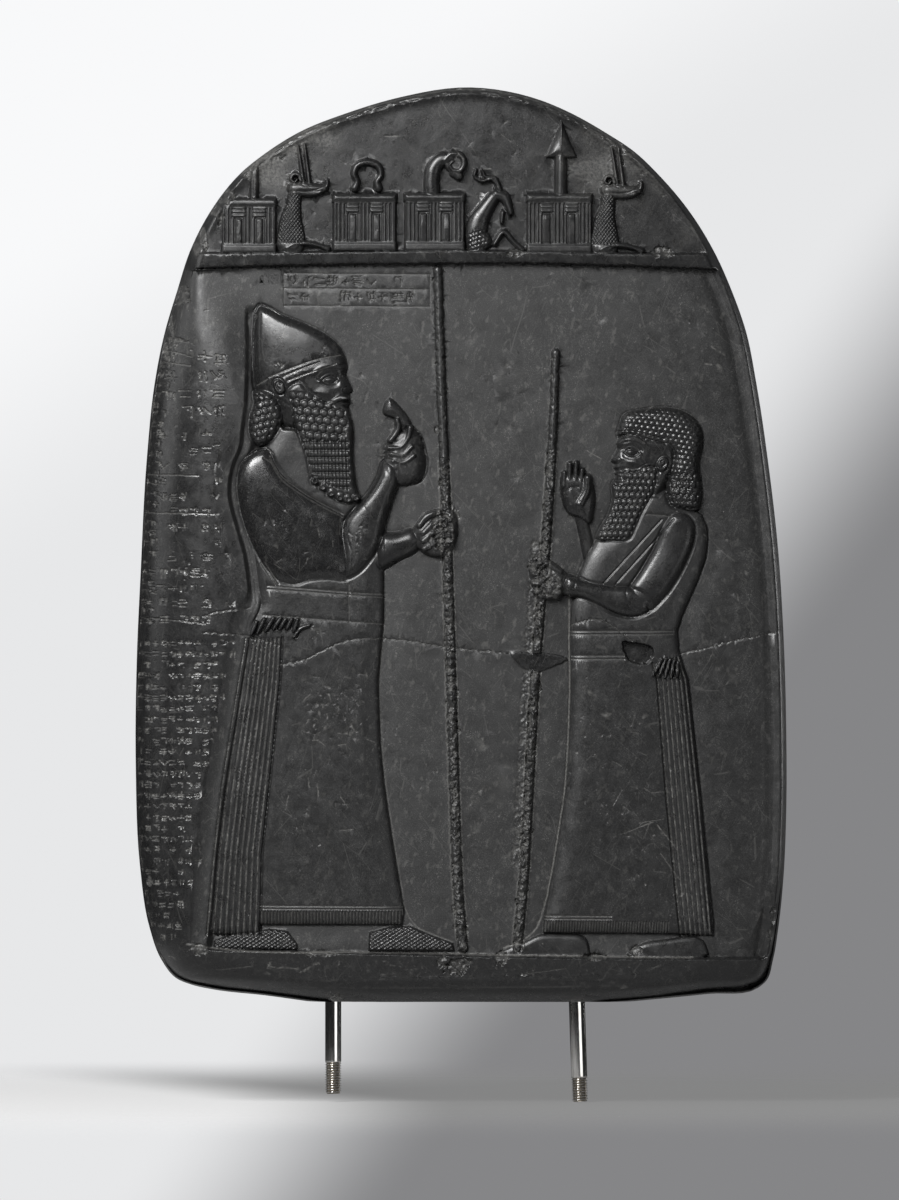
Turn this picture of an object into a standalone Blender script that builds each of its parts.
"""
Boundary stone: a round-topped slab of dark stone, carved in low relief on its front and held up by two steel studs.

X runs along the stone's width, Y back through its thickness and Z up from its flat underside. The relief is drawn on
a squared sheet, as a carver sets it out: SHEET_WIDTH squares across and SHEET_HEIGHT squares up, with (0, 0) at the
middle of the underside. The sheet is stretched to the stone's width and height. Relief heights are shares of
FIELD_DEPTH: 0 is the sunk background and 1 is flush with the stone's old face. Cuts into a surface are in metres.
"""
import math

import bmesh
import bpy
import numpy as np

for old_object in list(bpy.data.objects):
    bpy.data.objects.remove(old_object, do_unlink=True)

MM = 0.001

# The stone
STONE_HEIGHT = 454.5 * MM
STONE_WIDTH = 324.0 * MM
STONE_THICKNESS = 90.0 * MM
FIELD_DEPTH = 8.0 * MM
CROWN = 2.5 * MM
LEFT_ROUNDING = 40.0 * MM
RIGHT_ROUNDING = 9.0 * MM
ARCH_ROUNDING = 6.0 * MM
BASE_ROUNDING = 15.0 * MM
BACK_ROUNDING = 30.0 * MM

# The figures, each from the soles of the feet to the top of the head
KING_HEIGHT = 320.5 * MM
OFFICIAL_HEIGHT = 270.0 * MM

# The studs
STUD_DIAMETER = 8.0 * MM
THREAD_PITCH = 1.25 * MM
THREAD_DEPTH = 0.65 * MM
STUD_CLEARANCE = 0.3 * MM
STUD_SOCKET_DEPTH = 55.0 * MM
LEFT_STUD_X = -63.6 * MM
LEFT_STUD_REACH = 46.3 * MM
LEFT_STUD_THREAD = 16.3 * MM
RIGHT_STUD_X = 57.7 * MM
RIGHT_STUD_REACH = 50.3 * MM
RIGHT_STUD_THREAD = 12.5 * MM
RIGHT_STUD_LEAN = math.radians(1.8)

# How fine the carving is worked out, and how many flat faces it is then reduced to
CELL = 1.1 * MM
STONE_TRIANGLES = 7900

# The sheet
SHEET_WIDTH = 324.0
SHEET_HEIGHT = 454.5
SQUARE_X = STONE_WIDTH / SHEET_WIDTH
SQUARE_Z = STONE_HEIGHT / SHEET_HEIGHT


# Lines and distances

def smooth_line(points, closed=False, steps=6):
    """Cubic arcs through the points, the slope at each being that of the parabola through it and its neighbours."""
    p = np.asarray(points, float)
    if closed:
        p = np.vstack([p[-1:], p, p[:2]])
    else:
        p = np.vstack([2 * p[:1] - p[1:2], p, 2 * p[-1:] - p[-2:-1]])
    step = np.diff(p, axis=0)
    length = np.linalg.norm(step, axis=1, keepdims=True)
    slope = step / length
    tangent = (slope[:-1] * length[1:] + slope[1:] * length[:-1]) / (length[:-1] + length[1:])
    t = (np.arange(steps) / steps)[None, :, None]
    start, end = p[1:-2, None], p[2:-1, None]
    reach = length[1:-1, None]
    arcs = (1 + 2 * t) * (1 - t) ** 2 * start + t * (1 - t) ** 2 * reach * tangent[:-1, None]
    arcs = arcs + t * t * (3 - 2 * t) * end - t * t * (1 - t) * reach * tangent[1:, None]
    line = arcs.reshape(-1, 2)
    return line if closed else np.vstack([line, p[-2:-1]])


def evenly(line, count):
    """The line's points at count equal steps along it."""
    run = np.concatenate([[0.0], np.cumsum(np.linalg.norm(np.diff(line, axis=0), axis=1))])
    at = np.linspace(0.0, run[-1], count + 1)
    return np.column_stack([np.interp(at, run, line[:, 0]), np.interp(at, run, line[:, 1])])


def inside_distance(x, z, outline):
    """How far points lie inside a closed outline, by its nearest edge, and negative outside it."""
    nearest = np.full(x.shape, np.inf)
    inside = np.zeros(x.shape, bool)
    for (ax, az), (bx, bz) in zip(outline, np.roll(outline, -1, axis=0)):
        dx, dz = bx - ax, bz - az
        share = np.clip(((x - ax) * dx + (z - az) * dz) / (dx * dx + dz * dz), 0, 1)
        nearest = np.minimum(nearest, (x - ax - share * dx) ** 2 + (z - az - share * dz) ** 2)
        crosses = (az > z) != (bz > z)
        left_of = ((x - ax) * dz < (z - az) * dx) == (dz > 0)
        inside ^= crosses & left_of
    return np.where(inside, 1.0, -1.0) * np.sqrt(nearest)


def line_distance(x, z, line):
    """How far points lie from an open line, and how far along it, from 0 to 1, their nearest place is."""
    nearest = np.full(x.shape, np.inf)
    along = np.zeros(x.shape)
    spans = len(line) - 1
    for k in range(spans):
        (ax, az), (bx, bz) = line[k], line[k + 1]
        dx, dz = bx - ax, bz - az
        share = np.clip(((x - ax) * dx + (z - az) * dz) / (dx * dx + dz * dz), 0, 1)
        gap = (x - ax - share * dx) ** 2 + (z - az - share * dz) ** 2
        along = np.where(gap < nearest, (k + share) / spans, along)
        nearest = np.minimum(nearest, gap)
    return np.sqrt(nearest), along


def smooth_ring(points):
    """A closed smooth outline through the points."""
    return smooth_line(points, closed=True, steps=3)


def quarter_round(distance, width):
    """A quarter circle's rise from 0 at the edge to 1 at width inside it."""
    return np.sqrt(1 - (1 - np.clip(distance / width, 0, 1)) ** 2)


def ease(value):
    """A smooth step from 0 to 1."""
    t = np.clip(value, 0, 1)
    return t * t * (3 - 2 * t)


# Carving

STEEPEST_CROWN = 0.97


class Carving:
    """Relief heights and cuts at points of the sheet, changed by one tool stroke after another."""

    def __init__(self, x, z, height, cut):
        self.x, self.z, self.height, self.cut = x, z, height, cut

    def scaled(self, about, factor):
        """The same carving seen from a figure's own drawing, which is factor times its size on the sheet."""
        x = about[0] + (self.x - about[0]) / factor
        z = about[1] + (self.z - about[1]) / factor
        return Carving(x, z, self.height, self.cut)

    def near(self, line, reach):
        """The places of the points within reach of a line's own box."""
        low, high = line.min(axis=0) - reach, line.max(axis=0) + reach
        return np.nonzero((self.x > low[0]) & (self.x < high[0]) & (self.z > low[1]) & (self.z < high[1]))

    def form(self, outline, top, rounding, edge=0.0):
        """A rounded form: it stands at edge along its outline and swells to top at rounding inside it."""
        at = self.near(outline, 0)
        d = inside_distance(self.x[at], self.z[at], outline)
        rise = np.where(d > 0, edge + (top - edge) * quarter_round(d, rounding), -np.inf)
        self.height[at] = np.maximum(self.height[at], rise)

    def crown(self, outline, ridge, radii, drop):
        """Rounds what an outline holds about a ridge line, like a bar of the radii given, down by drop at its sides."""
        at = self.near(outline, 0)
        d, along = line_distance(self.x[at], self.z[at], ridge)
        radius = np.interp(along, np.linspace(0, 1, len(radii)), radii)
        inside = inside_distance(self.x[at], self.z[at], outline) > 0
        fall = 1 - np.sqrt(1 - np.clip(d / radius, 0, STEEPEST_CROWN) ** 2)
        self.height[at] -= np.where(inside, drop * fall, 0)

    def limb(self, line, radii, top, base=0.0):
        """A round bar along a line, its radius changing evenly between the radii given."""
        at = self.near(line, max(radii))
        d, along = line_distance(self.x[at], self.z[at], line)
        radius = np.interp(along, np.linspace(0, 1, len(radii)), radii)
        swell = base + (top - base) * quarter_round(radius - d, radius)
        self.height[at] = np.where(d < radius, np.maximum(self.height[at], swell), self.height[at])

    def groove(self, line, width, depth):
        """A rounded groove of a width in squares and a depth in metres."""
        at = self.near(line, width)
        d, _ = line_distance(self.x[at], self.z[at], line)
        self.cut[at] += depth * np.clip(1 - (2 * d / width) ** 2, 0, 1)

    def flutes(self, outline, left, right, count, depth):
        """Upright flutes inside an outline, shared out evenly between its left and its right line."""
        at = self.near(outline, 0)
        x, z = self.x[at], self.z[at]
        inside = inside_distance(x, z, outline) > 0
        left_x = np.interp(z, left[:, 1], left[:, 0])
        right_x = np.interp(z, right[:, 1], right[:, 0])
        share = (x - left_x) / (right_x - left_x)
        self.cut[at] += np.where(inside, depth * (0.5 + 0.5 * np.cos(2 * math.pi * count * share)), 0)

    def locks(self, outline, row, column, depth, lean=0.0):
        """Rows of curls inside an outline: row and column are their pitches, lean turns the rows."""
        at = self.near(outline, 0)
        inside = ease(inside_distance(self.x[at], self.z[at], outline) / column)
        u = self.x[at] * math.cos(lean) + self.z[at] * math.sin(lean)
        v = self.z[at] * math.cos(lean) - self.x[at] * math.sin(lean)
        shift = (np.floor(v / row) % 2) * math.pi
        curl = np.abs(np.sin(math.pi * v / row)) * (0.6 + 0.4 * np.cos(2 * math.pi * u / column + shift))
        self.cut[at] += inside * depth * (1 - curl)


def box(x0, z0, x1, z1):
    """The corners of an upright rectangle on the sheet."""
    return np.array([(x0, z0), (x0, z1), (x1, z1), (x1, z0)], float)


# The stone's outline on the sheet, clockwise from the lower left corner

LEFT_SIDE = [(-142, 11.4), (-149.5, 21), (-155, 36), (-160, 68), (-162, 115), (-161.5, 170), (-159.5, 215),
             (-156.5, 270), (-152.5, 308), (-147.5, 333), (-141.5, 353), (-135, 373), (-125, 392.5)]
ARCH = [(-109.5, 412), (-97, 422), (-81, 432), (-56, 442), (-32, 449.2), (5, 454.5), (40, 448), (52.5, 442.8),
        (72, 432), (87, 422)]
RIGHT_SIDE = [(97.5, 412), (114, 392.5), (126, 373), (135, 353), (142, 333), (147, 308), (153, 268), (158, 224),
              (160.5, 185), (162, 135), (162, 95), (160.5, 60), (158, 36), (155.5, 21)]
UNDERSIDE = [(152, 10), (148, 6.6), (123, 3.5), (98, 1.0), (60, -2.2), (0, -2.6), (-60, -2.0), (-98, 2.8),
             (-124, 5.8), (-134, 8)]
ARC_STEPS = 6
PATCH_INSET = 1.5
OUTLINE_STRIDE = 4
CELLS_PER_RING = 4
FEWEST_RINGS = 6

# The rounding from the front face to the sides changes along the outline: (bearing from the middle, rounding)
EDGE_CENTRE = (0.0, 200.0)
EDGE_ROUNDINGS = [(-90, BASE_ROUNDING), (-55, 0.7 * BASE_ROUNDING), (-30, RIGHT_ROUNDING), (45, RIGHT_ROUNDING),
                  (66, ARCH_ROUNDING), (117, ARCH_ROUNDING), (128, 0.3 * LEFT_ROUNDING), (139, 0.8 * LEFT_ROUNDING),
                  (150, LEFT_ROUNDING), (215, LEFT_ROUNDING), (232, 0.6 * LEFT_ROUNDING), (247, BASE_ROUNDING)]
EDGE_FULLNESS = 2.5


def edge_rounding(x, z):
    """The rounding, in squares, at the bearing of each point from the stone's middle."""
    bearing = np.degrees(np.arctan2(z - EDGE_CENTRE[1], x - EDGE_CENTRE[0]))
    bearings, roundings = zip(*EDGE_ROUNDINGS)
    return np.interp(bearing, bearings, roundings, period=360) / SQUARE_X


def half_thickness(x):
    """How far the face stands in front of the stone's middle plane: most at the centre, CROWN less at the sides."""
    return STONE_THICKNESS / 2 - CROWN * (2 * x / SHEET_WIDTH) ** 2


def edge_curve(share):
    """A superellipse's height at a share of the way from the silhouette (0) to the flat face (1)."""
    q = 1 - np.clip(share, 0, 1)
    return (1 - q ** EDGE_FULLNESS) ** (1 / EDGE_FULLNESS)


# The sunk field and its ledges

REGISTER_TOP = [(-145, 370.5), (-65, 371.5), (0, 372.3), (65, 371), (150, 370)]
REGISTER_UNDERSIDE = [(-145, 363), (-100, 364.5), (-50, 365.5), (40, 366), (130, 363), (150, 362.5)]
GROUND_LINE = [(-170, 26.5), (-130, 28), (-120, 26.8), (-45, 25), (-16, 24.5), (22, 23.5), (88, 22.5), (170, 22.5)]
KING_BACK_GROOVE = [(-131, 24), (-129, 34), (-125, 74), (-121, 106), (-116, 135), (-112, 160), (-108.5, 180),
                    (-106.8, 189), (-103.5, 197), (-104, 208), (-106, 222), (-110.5, 238), (-113.4, 250),
                    (-113.2, 260), (-111.2, 268), (-108.3, 275), (-107, 285), (-105.7, 295), (-104.8, 310),
                    (-104.5, 342)]
LOWER_FIELD = 0.18
UPPER_FIELD = 0.42
LEDGE_HEIGHT = 0.95
MARGIN_TOP = 352.0
MARGIN_FADE = 16.0
MARGIN_LEAN = 0.4
GROOVE_WALL = 1.6
LIP_HEIGHT = 0.3
LIP_WIDTH = 4.0
LEDGE_EDGE = 1.5


def carve_fields(stone, inset):
    """The sunk field of each register, the margin left of the king, the ledges and the lip along the edge."""
    x, z = stone.x, stone.z
    lip = LIP_HEIGHT * np.exp(-(inset / LIP_WIDTH) ** 2)
    groove = smooth_line(KING_BACK_GROOVE)
    groove_x = np.interp(z, groove[:, 1], groove[:, 0])
    fade = ease((MARGIN_TOP + MARGIN_LEAN * (groove_x - x) - z) / MARGIN_FADE)
    margin = ease((groove_x - x) / GROOVE_WALL) * fade
    stone.height[:] = np.maximum(np.maximum(lip, LOWER_FIELD), margin)
    register_top = np.interp(x, *zip(*REGISTER_TOP))
    register_under = np.interp(x, *zip(*REGISTER_UNDERSIDE))
    ground = np.interp(x, *zip(*GROUND_LINE))
    ledge = LEDGE_HEIGHT * ease((z - register_under) / LEDGE_EDGE)
    stone.height[:] = np.where(z > register_under, ledge, stone.height)
    above = ease((z - register_top) / LEDGE_EDGE)
    upper = UPPER_FIELD + lip
    stone.height[:] = np.where(z > register_top, LEDGE_HEIGHT * (1 - above) + upper * above, stone.height)
    base = ease((ground - z) / LEDGE_EDGE)
    stone.height[:] = np.where(z < ground, np.maximum(stone.height, base), stone.height)


# The symbols on the ledge

ALTARS = [(-118.5, -91.5, 371.0, 398.5), (-63.5, -32.0, 372.0, 401.0), (-28.0, 2.0, 372.0, 401.3),
          (32.5, 65.0, 371.0, 401.0)]
ALTAR_SLAB = 4.6
ALTAR_FOOT = 5.2
ALTAR_OVERHANG = 0.4
ALTAR_NICHES = (0.32, 0.68)
NICHE_WIDTH = 0.17
NICHE_GAPS = (1.0, 3.0)
SYMBOL_TOP = 1.0

STYLUS = [(-102.5, 399), (-102.3, 414)]
OMEGA = [(-53.5, 403.5), (-52.6, 408), (-51.5, 412.5), (-46, 415.7), (-41.4, 413), (-41.2, 408), (-41, 403.5)]
RAM_STAFF = [(-14.5, 401), (-14.5, 409), (-12, 415), (-7, 418.5), (-1.5, 417.5), (0, 413), (-2, 411)]
SPADE_BLADE = [(50, 438), (46, 428), (42, 418.5), (49.5, 417.8), (57, 418.5), (53.6, 428)]
SPADE_SHAFT = [(49.5, 401), (49.5, 419)]
DRAGON_BODY = [(-84, 372), (-84, 380), (-84.5, 388), (-83, 396), (-80, 403)]
DRAGON_HEAD = [(-82, 404), (-75, 404.5), (-68, 404), (-66, 407.5)]
DRAGON_LEG = [(-84, 374.5), (-76, 375), (-67, 373.5)]
DRAGON_HORNS = [[(-77.5, 405), (-80, 424)], [(-74.5, 405), (-77, 425)]]
GOATFISH_BODY = [(7, 376), (8.5, 384), (11.5, 391), (17, 397)]
GOATFISH_HEAD = [(18, 399), (22.5, 396), (24.5, 391)]
GOATFISH_HORNS = [[(18, 401), (15, 407), (8, 412)], [(22, 401), (20, 405), (14, 408)]]
GOATFISH_LEG = [(15, 376), (21, 381.5), (30, 373)]
SECOND_DRAGON_STEP = (155.5, -1.0)


def carve_altar(stone, left, right, bottom, top):
    """A box-shaped shrine: a top slab, a ribbed front with two niches and a plain foot."""
    ribs_low, ribs_high = bottom + ALTAR_FOOT, top - ALTAR_SLAB
    slab = box(left - ALTAR_OVERHANG, ribs_high, right + ALTAR_OVERHANG, top)
    foot = box(left - ALTAR_OVERHANG, bottom, right + ALTAR_OVERHANG, ribs_low)
    stone.form(box(left, bottom, right, top), top=0.92, rounding=1.0, edge=0.5)
    stone.form(slab, top=SYMBOL_TOP, rounding=1.6, edge=0.6)
    stone.form(foot, top=SYMBOL_TOP, rounding=1.2, edge=0.6)
    width = right - left
    for share in ALTAR_NICHES:
        middle = left + share * width
        niche = [(middle, ribs_low + NICHE_GAPS[0]), (middle, ribs_high - NICHE_GAPS[1])]
        stone.groove(np.array(niche), width=NICHE_WIDTH * width, depth=0.2 * FIELD_DEPTH)


def carve_dragon(stone, step):
    """A horned dragon lying beside an altar: upright scaly neck, long head, two straight horns and a foreleg."""
    def moved(points):
        return smooth_line(np.array(points, float) + step)

    stone.limb(moved(DRAGON_BODY), radii=[6.5, 6, 5, 4.4, 4.4], top=0.95)
    stone.limb(moved(DRAGON_HEAD), radii=[4.2, 3.4, 2.2, 1.4], top=SYMBOL_TOP)
    stone.limb(moved(DRAGON_LEG), radii=[3.2, 2.4, 1.8], top=SYMBOL_TOP)
    for horn in DRAGON_HORNS:
        stone.limb(moved(horn), radii=[1.3, 0.8], top=0.9)


def carve_symbols(stone):
    """The row of divine symbols on the upper ledge."""
    for altar in ALTARS:
        carve_altar(stone, *altar)
    stone.limb(smooth_line(STYLUS), radii=[2.2, 2.0], top=0.9)
    stone.limb(smooth_line(OMEGA), radii=[2.2, 1.8, 2.2, 1.8, 2.2], top=0.95)
    stone.limb(smooth_line(RAM_STAFF), radii=[4.0, 3.9, 3.4, 3.6, 3.2], top=0.95)
    stone.form(np.array(SPADE_BLADE, float), top=0.95, rounding=4.0, edge=0.5)
    stone.limb(smooth_line(SPADE_SHAFT), radii=[3.4, 2.6], top=0.95)
    carve_dragon(stone, (0.0, 0.0))
    carve_dragon(stone, SECOND_DRAGON_STEP)
    stone.limb(smooth_line(GOATFISH_BODY), radii=[4.5, 5, 4.5, 3.2], top=0.95)
    stone.limb(smooth_line(GOATFISH_HEAD), radii=[2.6, 3.0, 1.6], top=SYMBOL_TOP)
    stone.limb(smooth_line(GOATFISH_LEG), radii=[2.0, 1.7, 1.4], top=0.9)
    for horn in GOATFISH_HORNS:
        stone.limb(smooth_line(horn), radii=[1.4, 0.9], top=0.9)


# The two staffs

KING_STAFF = [(-11.5, 363), (-10, 310), (-8, 260), (-6, 200), (-3, 100), (-1, 50), (1, 27)]
KING_STAFF_RADIUS = 2.5
OFFICIAL_STAFF = [(47, 322), (45, 272), (42, 225), (37, 165), (34.5, 120), (31, 60), (28, 27)]
OFFICIAL_STAFF_RADIUS = 2.3
STAFF_TOP = 0.6


def carve_staffs(stone):
    """Two tall round staffs that stand on the ground ledge."""
    stone.limb(smooth_line(KING_STAFF), radii=[KING_STAFF_RADIUS] * 2, top=STAFF_TOP)
    stone.limb(smooth_line(OFFICIAL_STAFF), radii=[OFFICIAL_STAFF_RADIUS] * 2, top=STAFF_TOP)


# The height of both robes, and the depths of the cuts that both figures share

ROBE_TOP = 0.76
PLEAT_DEPTH = 0.12 * FIELD_DEPTH
SEAM_DEPTH = 0.08 * FIELD_DEPTH
CURL_DEPTH = 0.11 * FIELD_DEPTH

# The king, drawn KING_SQUARES tall with his feet at KING_FEET

KING_SQUARES = 320.5
KING_FEET = (-75.0, 26.0)
KING_BODY = [(-92, 300), (-94, 284), (-97, 276.5), (-104, 273.5), (-109, 269), (-111.8, 262), (-112, 254),
             (-110, 243), (-106.5, 232), (-103.5, 220), (-102, 208), (-101, 198), (-104.5, 190.5), (-107, 180),
             (-110.3, 160), (-119, 106), (-122.7, 74), (-126.4, 34), (-100, 33.5), (-99.5, 38.5), (-29, 38.5),
             (-28, 46), (-30.3, 58), (-34.7, 85), (-38, 108), (-40, 128), (-41, 160), (-38.3, 190), (-38.3, 215),
             (-39, 232), (-50, 248), (-54, 258), (-60, 280)]
KING_PLEATS_LEFT = [(-126.4, 33), (-122.7, 74), (-119, 106), (-110.3, 160), (-106.7, 181)]
KING_PLEATS_RIGHT = [(-100, 33), (-98.5, 74), (-95, 106), (-89.4, 160), (-89, 181)]
KING_HAT = [(-103.2, 305), (-103.6, 320), (-103, 338), (-102.4, 343.5), (-100, 346.5), (-96, 345.3), (-88, 340.8),
            (-76, 336), (-66, 330.5), (-60, 325), (-56.8, 319), (-66, 315.5), (-80, 309.8), (-92, 305)]
KING_HAT_BANDS = [[(-96, 310), (-84, 314.3), (-57.5, 322.5)], [(-88, 308.3), (-78, 312), (-58, 319.5)]]
KING_HEAD = [(-100, 304), (-92, 305), (-80, 309.8), (-66, 315.5), (-57.2, 318), (-56.2, 314.5), (-57.2, 311),
             (-53.6, 304.2), (-53.5, 303.0), (-55.6, 301.8), (-55, 299.6), (-56.2, 298), (-55.2, 296.6),
             (-56.2, 295), (-54.6, 291), (-60, 282), (-88, 284), (-98, 296)]
KING_HAIR = [(-103.2, 305), (-103, 297), (-105.3, 290), (-105.3, 283), (-103, 277.3), (-99.5, 275.7), (-94, 278.5),
             (-90, 284), (-88, 290), (-89, 296), (-92, 301), (-96, 305)]
KING_BEARD = [(-87, 303), (-83.5, 296), (-83, 289), (-79.5, 279), (-76.3, 270), (-74, 260), (-69.5, 255),
              (-62, 249.5), (-56, 247.5), (-51, 249), (-52.5, 257), (-54, 270), (-54.8, 290), (-57, 295),
              (-66, 298), (-74, 302), (-80, 308)]
KING_UPPER_ARM = [(-97, 275), (-104, 272.8), (-109, 267.5), (-111.2, 258), (-110, 247), (-106.5, 234), (-102, 224),
                  (-96, 213.5), (-90, 208.2), (-83, 206.5), (-75, 209), (-66, 209.8), (-57, 209.5), (-54, 217),
                  (-57, 232), (-58.5, 241), (-70, 248.5), (-81, 255.5), (-89, 263.5)]
KING_FOREARM = [(-57.5, 209.5), (-51.5, 212), (-45, 218.5), (-40, 226), (-37, 239), (-33.5, 250), (-31, 257),
                (-36, 275), (-39.3, 270), (-41, 261.5), (-46, 253), (-52, 246.5), (-58, 240), (-59, 222)]
KING_RAISED_FIST = [(-38, 266), (-37.5, 276), (-31, 284), (-25, 286), (-20, 281.5), (-17.2, 273), (-16.5, 265),
                    (-20, 258), (-26, 256), (-33, 256.5)]
KING_RAISED_FINGER = [(-35, 277), (-33.5, 282), (-31.5, 287.5)]
KING_HELD_STRIP = [(-38.6, 291.8), (-35.6, 299.6), (-30, 295), (-25, 285), (-29, 283), (-32.5, 289)]
KING_LOWER_ARM = [(-40, 214), (-40, 233), (-32, 233.5), (-24, 235.2), (-19, 231), (-21, 224), (-30, 219)]
KING_LOWER_FIST = [(-24, 235), (-18, 241), (-12, 243.5), (-4, 244), (-1.5, 238), (-2.5, 228), (-6, 222),
                   (-13, 220.5), (-20, 223.5)]
KING_HEM = [(-99.6, 47), (-29.5, 46.5)]
KING_BELT = [[(-98, 206), (-38.5, 201.5)], [(-98, 192), (-38.5, 186.5)]]
KING_FOLDS = [(-103, 182, -100, 190), (-98, 182, -94, 190), (-93, 183, -89, 190), (-88, 183, -84, 189.5)]
KING_SKIRT_RIDGE = [(-76, 262), (-74, 180), (-76, 40)]
KING_FACE_RIDGE = [(-90, 307), (-76, 306), (-68, 302), (-64, 292)]
KING_HAT_RIDGE = [(-72, 313), (-79, 324), (-90, 336), (-99, 344)]
KING_ARM_RIDGE = [(-99, 262), (-93, 242), (-80, 226), (-64, 218)]
KING_FOREARM_RIDGE = [(-53, 214), (-49, 232), (-42, 247), (-34, 261)]
KING_BEARD_RIDGE = [(-72, 302), (-68, 280), (-61, 254)]
KING_FEET_OUTLINES = [[(-123, 27), (-122, 31), (-112, 34.5), (-95, 36.5), (-86, 35.5), (-81, 29), (-81, 26.5)],
                      [(-46, 26), (-45.5, 35), (-35, 37.5), (-25, 38), (-15, 33.5), (-4, 29.5), (-4, 25.5)]]


def carve_king(stone):
    """The king, in profile to the right: tall hat, curled beard, one hand raised and the other on his staff."""
    king = stone.scaled(KING_FEET, KING_HEIGHT / (KING_SQUARES * SQUARE_Z))
    for foot in KING_FEET_OUTLINES:
        king.form(smooth_ring(foot), top=0.7, rounding=4.0)
    body = np.array(KING_BODY, float)
    king.form(body, top=ROBE_TOP, rounding=6.0)
    king.crown(body, np.array(KING_SKIRT_RIDGE, float), radii=[62, 66, 74], drop=0.3)
    left, right = np.array(KING_PLEATS_LEFT, float), np.array(KING_PLEATS_RIGHT, float)
    king.flutes(np.vstack([left, right[::-1]]), left, right, count=5, depth=PLEAT_DEPTH)
    king.groove(right, width=1.8, depth=PLEAT_DEPTH)
    head = np.array(KING_HEAD, float)
    king.form(head, top=0.9, rounding=7.0, edge=0.2)
    king.crown(head, smooth_line(KING_FACE_RIDGE), radii=[24, 23, 20, 18], drop=0.25)
    hat = smooth_ring(KING_HAT)
    king.form(hat, top=1.0, rounding=8.0, edge=0.25)
    king.crown(hat, smooth_line(KING_HAT_RIDGE), radii=[31, 26, 17, 8], drop=0.55)
    for band in KING_HAT_BANDS:
        king.groove(smooth_line(band), width=2.2, depth=SEAM_DEPTH)
    hair = smooth_ring(KING_HAIR)
    king.form(hair, top=1.0, rounding=6.0, edge=0.3)
    king.locks(hair, row=4.4, column=4.4, depth=CURL_DEPTH)
    arm = smooth_ring(KING_UPPER_ARM)
    king.form(arm, top=1.0, rounding=7.0, edge=0.5)
    king.crown(arm, smooth_line(KING_ARM_RIDGE), radii=[30, 36, 38, 34], drop=0.55)
    king.form(smooth_ring(KING_LOWER_ARM), top=0.8, rounding=6.0, edge=0.1)
    king.form(smooth_ring(KING_LOWER_FIST), top=0.95, rounding=7.0)
    king.form(smooth_ring(KING_HELD_STRIP), top=0.7, rounding=4.0, edge=0.2)
    forearm = smooth_ring(KING_FOREARM)
    king.form(forearm, top=1.0, rounding=5.0, edge=0.45)
    king.crown(forearm, smooth_line(KING_FOREARM_RIDGE), radii=[13, 12, 10, 9], drop=0.5)
    king.form(smooth_ring(KING_RAISED_FIST), top=1.0, rounding=8.0, edge=0.2)
    king.limb(smooth_line(KING_RAISED_FINGER), radii=[2.2, 1.7], top=0.95, base=0.3)
    beard = smooth_ring(KING_BEARD)
    king.form(beard, top=1.0, rounding=3.0, edge=0.6)
    king.crown(beard, smooth_line(KING_BEARD_RIDGE), radii=[19, 17, 14], drop=0.35)
    king.locks(beard, row=4.0, column=4.0, depth=CURL_DEPTH)
    for line in KING_BELT:
        king.groove(np.array(line, float), width=2.0, depth=SEAM_DEPTH)
    for x0, z0, x1, z1 in KING_FOLDS:
        king.groove(np.array([(x0, z0), (x1, z1)], float), width=2.2, depth=PLEAT_DEPTH)
    king.groove(np.array(KING_HEM, float), width=2.0, depth=SEAM_DEPTH)


# The official, drawn OFFICIAL_SQUARES tall with the feet at OFFICIAL_FEET

OFFICIAL_SQUARES = 270.0
OFFICIAL_FEET = (80.0, 25.0)
OFFICIAL_BODY = [(70, 231), (67, 229.5), (62, 221), (57.5, 211), (54.3, 195), (53.7, 180), (54, 160), (53.5, 136),
                 (51.7, 106), (48.7, 85.5), (45, 64), (41.5, 45), (40.5, 34.5), (104, 34), (125.5, 33),
                 (125.5, 40), (119.5, 100), (113, 160), (108.3, 174), (107.5, 184), (110, 192), (114, 201),
                 (118, 210), (121.5, 220), (122.6, 229), (122, 236), (119.5, 242), (112, 246), (100, 256),
                 (92, 258)]
OFFICIAL_PLEATS_LEFT = [(108.7, 33), (102, 100), (97.3, 160), (95, 168)]
OFFICIAL_PLEATS_RIGHT = [(125.5, 33), (119.5, 100), (113, 160), (109, 172)]
OFFICIAL_HEAD = [(79, 283), (78, 280), (76.8, 277), (77.6, 274.5), (74.4, 269.3), (74.3, 268.1), (76.2, 266.8),
                 (75.5, 265), (76.8, 263.7), (75.8, 262.4), (76.8, 261), (75.2, 257), (82, 250), (98, 250),
                 (108, 262), (108, 284), (90, 290)]
OFFICIAL_HAIR = [(80.5, 291.3), (90, 294), (99, 295), (109, 293.5), (116, 289.5), (119.6, 283), (119.8, 276),
                 (118, 267), (118.8, 260), (119.5, 250), (118, 244.5), (110, 243.8), (103.5, 246), (101.5, 256),
                 (104, 265), (104.5, 274), (100, 276), (92, 277.5), (84, 280.4), (77.5, 280.8), (78.5, 286)]
OFFICIAL_CAP = [(80.5, 291.3), (90, 294), (99, 295), (109, 293.5), (116, 289.5), (119.6, 283), (110, 281),
                (100, 279.5), (92, 280.5), (84, 283), (78, 283.5)]
OFFICIAL_BEARD = [(75.5, 258.5), (75.3, 250), (73, 242), (69, 235), (67, 230.3), (75, 229), (83.8, 229.8),
                  (86.5, 235), (90, 243), (94, 250), (97.5, 257.5), (97, 266), (92.5, 267), (88, 264.5),
                  (80, 263.5), (80, 259)]
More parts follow.
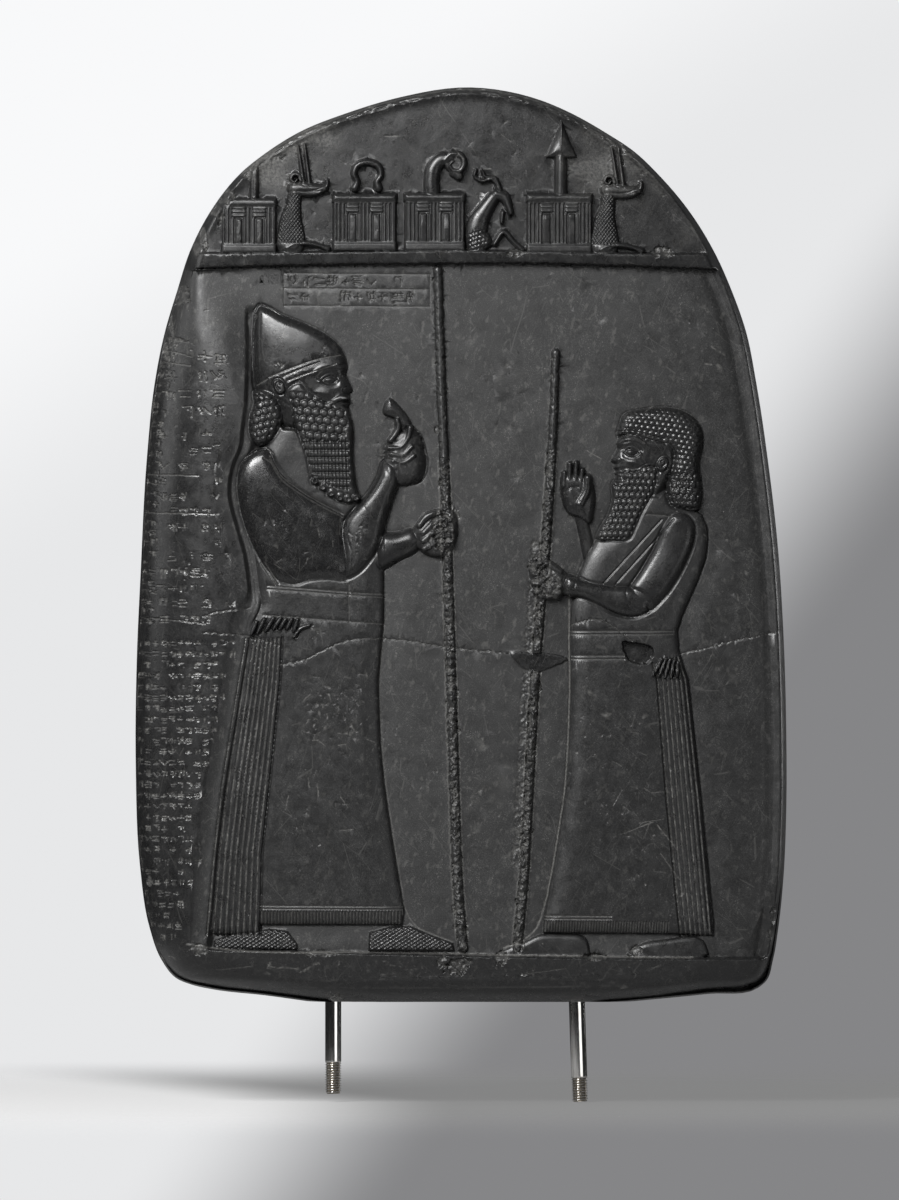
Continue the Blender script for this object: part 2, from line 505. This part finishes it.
OFFICIAL_UPPER_ARM = [(104, 242), (112, 242), (116.2, 237), (116, 229), (112.5, 219), (107, 208.5), (100, 199),
                      (93.5, 193.5), (85, 196), (82, 203), (88, 214), (95, 226), (100, 237)]
OFFICIAL_FOREARM = [(51, 202), (60, 200.3), (68, 196.5), (77, 191.8), (86, 190.5), (94, 194.5), (92, 202),
                    (85, 206), (74, 207), (64, 208.5), (52, 212)]
OFFICIAL_FIST = [(34, 219), (42, 217.5), (49, 215.5), (53.5, 211), (51.5, 205), (50, 200.5), (43, 199.3),
                 (37.5, 200.3), (35.5, 207)]
OFFICIAL_PALM = [(50, 262), (49.4, 253), (51, 245.5), (54, 241.5), (58, 240), (64, 237), (66.2, 244), (66.6, 252),
                 (64.5, 259), (60, 262)]
OFFICIAL_FINGERS = [[(51, 256), (51.3, 262.5)], [(53.8, 257), (54, 267)], [(56.6, 257), (57.2, 267.5)],
                    [(59.3, 256), (60, 264)]]
OFFICIAL_THUMB = [(59, 247), (62, 253), (62.8, 260)]
OFFICIAL_WRIST = [(59, 243), (61.5, 232), (64, 220)]
OFFICIAL_STRAP = [[(99.5, 239.5), (70.5, 207.8)], [(105.5, 239.5), (76.5, 207.3)]]
OFFICIAL_HEM = [(42, 42), (104, 41.5)]
OFFICIAL_BELT = [[(54, 183.3), (105, 183.3)], [(54, 171), (82, 171)]]
OFFICIAL_SKIRT_RIDGE = [(98, 246), (84, 205), (80, 165), (78, 40)]
OFFICIAL_FACE_RIDGE = [(96, 280), (90, 274), (86, 266), (84, 258)]
OFFICIAL_ARM_RIDGE = [(109.5, 239), (107, 223), (98, 208), (90, 200)]
OFFICIAL_FOREARM_RIDGE = [(53, 206), (70, 201.5), (88, 198)]
OFFICIAL_BEARD_RIDGE = [(86, 263), (82, 246), (75, 231)]
OFFICIAL_FEET_OUTLINES = [[(33, 24), (38, 32.5), (50, 34.5), (62, 33), (66, 28), (66, 24)],
                          [(84, 24), (90, 29.5), (104, 32), (120, 31), (122, 24)]]


def carve_official(stone):
    """The official, in profile to the left: curled hair, one hand raised and the other on the staff."""
    official = stone.scaled(OFFICIAL_FEET, OFFICIAL_HEIGHT / (OFFICIAL_SQUARES * SQUARE_Z))
    for foot in OFFICIAL_FEET_OUTLINES:
        official.form(smooth_ring(foot), top=0.6, rounding=4.0)
    official.limb(smooth_line(OFFICIAL_WRIST), radii=[3.6, 4.0], top=0.55)
    official.form(smooth_ring(OFFICIAL_PALM), top=0.72, rounding=4.0)
    for finger in OFFICIAL_FINGERS:
        official.limb(np.array(finger, float), radii=[1.6, 1.5], top=0.72, base=0.3)
    official.limb(smooth_line(OFFICIAL_THUMB), radii=[2.6, 1.8], top=0.85, base=0.5)
    body = np.array(OFFICIAL_BODY, float)
    official.form(body, top=ROBE_TOP, rounding=6.0)
    official.crown(body, np.array(OFFICIAL_SKIRT_RIDGE, float), radii=[40, 46, 52, 62], drop=0.3)
    left, right = np.array(OFFICIAL_PLEATS_LEFT, float), np.array(OFFICIAL_PLEATS_RIGHT, float)
    official.flutes(np.vstack([left, right[::-1]]), left, right, count=4, depth=PLEAT_DEPTH)
    official.groove(left, width=1.8, depth=PLEAT_DEPTH)
    head = np.array(OFFICIAL_HEAD, float)
    official.form(head, top=0.9, rounding=7.0, edge=0.2)
    official.crown(head, smooth_line(OFFICIAL_FACE_RIDGE), radii=[22, 21, 19, 18], drop=0.25)
    hair = smooth_ring(OFFICIAL_HAIR)
    official.form(hair, top=0.97, rounding=6.0, edge=0.3)
    official.locks(hair, row=4.2, column=4.2, depth=CURL_DEPTH)
    arm = smooth_ring(OFFICIAL_UPPER_ARM)
    official.form(arm, top=1.0, rounding=5.0, edge=0.5)
    official.crown(arm, smooth_line(OFFICIAL_ARM_RIDGE), radii=[14, 14, 13, 12], drop=0.5)
    forearm = smooth_ring(OFFICIAL_FOREARM)
    official.form(forearm, top=1.0, rounding=4.0, edge=0.45)
    official.crown(forearm, smooth_line(OFFICIAL_FOREARM_RIDGE), radii=[8, 9, 10], drop=0.5)
    official.form(smooth_ring(OFFICIAL_FIST), top=0.95, rounding=6.0)
    beard = smooth_ring(OFFICIAL_BEARD)
    official.form(beard, top=0.97, rounding=3.0, edge=0.6)
    official.crown(beard, smooth_line(OFFICIAL_BEARD_RIDGE), radii=[14, 13, 12], drop=0.3)
    official.locks(beard, row=4.0, column=4.0, depth=CURL_DEPTH)
    for edge in OFFICIAL_STRAP:
        official.groove(np.array(edge, float), width=1.8, depth=SEAM_DEPTH)
    for line in OFFICIAL_BELT:
        official.groove(np.array(line, float), width=2.0, depth=SEAM_DEPTH)
    official.groove(np.array(OFFICIAL_HEM, float), width=2.0, depth=SEAM_DEPTH)


# The chip at the lower right corner

CHIP_LINE = [(98, 5), (104, 9), (113, 15.5), (122, 20), (133, 24), (141, 30), (148, 42), (154, 60)]
CHIP_SLOPE = 0.32


def carve_chip(stone):
    """A large flat chip: beyond its line the face slopes back towards the lower right corner."""
    outline = np.vstack([smooth_line(CHIP_LINE), [(175, 60), (175, -20), (98, -20)]])
    at = stone.near(outline, 0)
    d = inside_distance(stone.x[at], stone.z[at], outline)
    stone.cut[at] += np.where(d > 0, CHIP_SLOPE * d * SQUARE_X, 0)


# The stone as one closed mesh

def stone_mesh(name):
    """
    A patch for the front and one for the back, joined by rings that follow the outline.

    Each patch blends the four sides of the outline, drawn in by PATCH_INSET. The front's depth is the further back
    of the rounded slab and the carved face. The rings follow the slab's rounded edge from the front to the back.
    """
    across = round(STONE_WIDTH / CELL)
    upward = round(STONE_HEIGHT / CELL)
    sides = [LEFT_SIDE, ARCH, RIGHT_SIDE, UNDERSIDE]
    line = smooth_line(sum(sides, []), True, ARC_STEPS)
    starts = np.cumsum([0] + [len(side) * ARC_STEPS for side in sides])
    line = np.vstack([line, line[:1]])
    counts = [upward, across, upward, across]
    parts = [evenly(line[a:b + 1], n)[:-1] for a, b, n in zip(starts[:-1], starts[1:], counts)]
    loop = np.vstack(parts)
    travel = np.roll(loop, -1, axis=0) - np.roll(loop, 1, axis=0)
    travel = travel / np.linalg.norm(travel, axis=1, keepdims=True)
    inward = np.column_stack([travel[:, 1], -travel[:, 0]])
    inner = loop + PATCH_INSET * inward

    left, top, right, bottom = np.split(inner, np.cumsum(counts)[:-1])
    left = np.vstack([left, top[:1]])
    top = np.vstack([top, right[:1]])
    right = np.vstack([right, bottom[:1]])[::-1]
    bottom = np.vstack([bottom, left[:1]])[::-1]
    s = np.linspace(0, 1, across + 1)[:, None, None]
    t = np.linspace(0, 1, upward + 1)[None, :, None]
    patch = (1 - s) * left[None] + s * right[None] + (1 - t) * bottom[:, None] + t * top[:, None]
    patch = patch - (1 - s) * ((1 - t) * left[0] + t * left[-1]) - s * ((1 - t) * right[0] + t * right[-1])
    x, z = patch[..., 0], patch[..., 1]

    inset = inside_distance(x, z, loop[::OUTLINE_STRIDE])
    stone = Carving(x, z, np.zeros(x.shape), np.zeros(x.shape))
    carve_fields(stone, inset)
    carve_staffs(stone)
    carve_symbols(stone)
    carve_king(stone)
    carve_official(stone)
    carve_chip(stone)
    slab = half_thickness(x) * edge_curve(inset / edge_rounding(x, z))
    face = half_thickness(x) - FIELD_DEPTH * (1 - stone.height)
    front = -np.minimum(slab, face) + stone.cut
    back = half_thickness(x) * edge_curve(inset * SQUARE_X / BACK_ROUNDING)

    number = np.arange(x.size).reshape(x.shape)
    border = np.concatenate([number[0, :-1], number[:-1, -1], number[-1, :0:-1], number[:0:-1, 0]])
    points = [np.column_stack([(x * SQUARE_X).ravel(), front.ravel(), (z * SQUARE_Z).ravel()])]
    faces = [np.column_stack([number[:-1, :-1].ravel(), number[1:, :-1].ravel(),
                              number[1:, 1:].ravel(), number[:-1, 1:].ravel()])]
    made = x.size
    previous = border
    around = len(loop)
    front_rounding = edge_rounding(loop[:, 0], loop[:, 1])
    back_rounding = np.full(around, BACK_ROUNDING / SQUARE_X)
    power = 2 / EDGE_FULLNESS
    rings = max(FEWEST_RINGS, round(STONE_THICKNESS / (CELLS_PER_RING * CELL)))
    for rounding, side in ((front_rounding, -1), (back_rounding, 1)):
        first = np.arcsin((1 - PATCH_INSET / rounding) ** (1 / power))
        for step in range(1, rings + 1):
            share = step / rings if side < 0 else 1 - step / rings
            if side > 0 and step == rings:
                break
            turn = first + (math.pi / 2 - first) * share
            out = rounding * (1 - np.sin(turn) ** power)
            ring = loop + inward * out[:, None]
            depth = side * half_thickness(loop[:, 0]) * np.abs(np.cos(turn)) ** power
            points.append(np.column_stack([ring[:, 0] * SQUARE_X, depth, ring[:, 1] * SQUARE_Z]))
            current = made + np.arange(around)
            faces.append(np.column_stack([previous, np.roll(previous, -1), np.roll(current, -1), current]))
            previous = current
            made += around
    points.append(np.column_stack([(x * SQUARE_X).ravel(), back.ravel(), (z * SQUARE_Z).ravel()]))
    faces.append(np.column_stack([previous, np.roll(previous, -1), np.roll(border, -1) + made, border + made]))
    faces.append(faces[0][:, ::-1] + made)

    mesh = bpy.data.meshes.new(name)
    mesh.from_pydata(np.vstack(points).tolist(), [], np.vstack(faces).tolist())
    mesh.update()
    return mesh


def principled(name, colour, roughness, metallic):
    """A plain material of one colour."""
    material = bpy.data.materials.new(name)
    material.use_nodes = True
    shader = material.node_tree.nodes["Principled BSDF"]
    shader.inputs["Base Color"].default_value = (*colour, 1.0)
    shader.inputs["Roughness"].default_value = roughness
    shader.inputs["Metallic"].default_value = metallic
    return material


def add_object(name, mesh, material=None):
    """A new object for a mesh, linked to the scene."""
    piece = bpy.data.objects.new(name, mesh)
    bpy.context.scene.collection.objects.link(piece)
    if material:
        mesh.materials.append(material)
    return piece


def turned(name, profile, segments):
    """A closed round solid about Z from a profile of (radius, height) points, bottom to top."""
    work = bmesh.new()
    rings = []
    for radius, height in profile:
        ring = []
        for k in range(segments):
            turn = 2 * math.pi * k / segments
            ring.append(work.verts.new((radius * math.cos(turn), radius * math.sin(turn), height)))
        rings.append(ring)
    work.faces.new(rings[0][::-1])
    work.faces.new(rings[-1])
    for lower, upper in zip(rings[:-1], rings[1:]):
        for k in range(segments):
            after = (k + 1) % segments
            work.faces.new((lower[k], lower[after], upper[after], upper[k]))
    mesh = bpy.data.meshes.new(name)
    work.to_mesh(mesh)
    work.free()
    return mesh


stone_material = principled("dark stone", (0.045, 0.046, 0.048), 0.42, 0.0)
stone = add_object("stone", stone_mesh("stone"), stone_material)
reduce_faces = stone.modifiers.new("fewer faces", "DECIMATE")
quads = len(stone.data.polygons)
reduce_faces.ratio = STONE_TRIANGLES / (2 * quads)


def cut_from_stone(cutter):
    """A Boolean that takes the cutter out of the stone."""
    cutter.hide_render = True
    cutter.display_type = "WIRE"
    cut = stone.modifiers.new("cut " + cutter.name, "BOOLEAN")
    cut.operation = "DIFFERENCE"
    cut.object = cutter


# The flat underside

GROUND_MARGIN = 20.0 * MM
ground_half = STONE_WIDTH / 2 + GROUND_MARGIN
ground_depth = STONE_THICKNESS / 2 + GROUND_MARGIN
ground_work = bmesh.new()
bmesh.ops.create_cube(ground_work, size=1.0)
bmesh.ops.scale(ground_work, vec=(2 * ground_half, 2 * ground_depth, GROUND_MARGIN), verts=ground_work.verts)
bmesh.ops.translate(ground_work, vec=(0.0, 0.0, -GROUND_MARGIN / 2), verts=ground_work.verts)
ground_mesh = bpy.data.meshes.new("ground cutter")
ground_work.to_mesh(ground_mesh)
ground_work.free()
cut_from_stone(add_object("ground cutter", ground_mesh))

# The studs, and the sockets drilled for them

STUD_SEGMENTS = 16
STUD_CHAMFER = 0.9 * MM


def stud_profile(reach, thread):
    """A plain shank with a chamfered top, and at its lower end thread rings and a chamfered tip."""
    outer = STUD_DIAMETER / 2
    root = outer - THREAD_DEPTH
    profile = [(root - STUD_CHAMFER / 2, -reach), (root, -reach + STUD_CHAMFER / 2)]
    turns = math.floor((thread - STUD_CHAMFER) / THREAD_PITCH)
    start = -reach + STUD_CHAMFER / 2
    for turn in range(turns):
        bottom = start + turn * THREAD_PITCH
        profile.append((outer, bottom + THREAD_PITCH / 2))
        profile.append((root, bottom + THREAD_PITCH))
    profile.append((outer, start + turns * THREAD_PITCH + THREAD_DEPTH))
    profile.append((outer, STUD_SOCKET_DEPTH - STUD_CLEARANCE - STUD_CHAMFER))
    profile.append((outer - STUD_CHAMFER, STUD_SOCKET_DEPTH - STUD_CLEARANCE))
    return profile


def add_stud(name, x, reach, thread, lean):
    """One stud, and its socket in the stone, which is wider and deeper by the clearance."""
    steel = principled("steel " + name, (0.55, 0.55, 0.54), 0.22, 1.0)
    stud = add_object(name, turned(name, stud_profile(reach, thread), STUD_SEGMENTS), steel)
    stud.data.shade_smooth()
    stud.data.set_sharp_from_angle(angle=math.radians(30))
    bore = STUD_DIAMETER / 2 / math.cos(math.pi / STUD_SEGMENTS) + STUD_CLEARANCE
    socket_profile = [(bore, -STUD_DIAMETER), (bore, STUD_SOCKET_DEPTH)]
    socket = add_object(name + " socket", turned(name + " socket", socket_profile, STUD_SEGMENTS))
    for piece in (stud, socket):
        piece.location = (x, 0.0, 0.0)
        piece.rotation_euler = (0.0, -lean, 0.0)
    cut_from_stone(socket)


add_stud("stud_left", LEFT_STUD_X, LEFT_STUD_REACH, LEFT_STUD_THREAD, 0.0)
add_stud("stud_right", RIGHT_STUD_X, RIGHT_STUD_REACH, RIGHT_STUD_THREAD, RIGHT_STUD_LEAN)
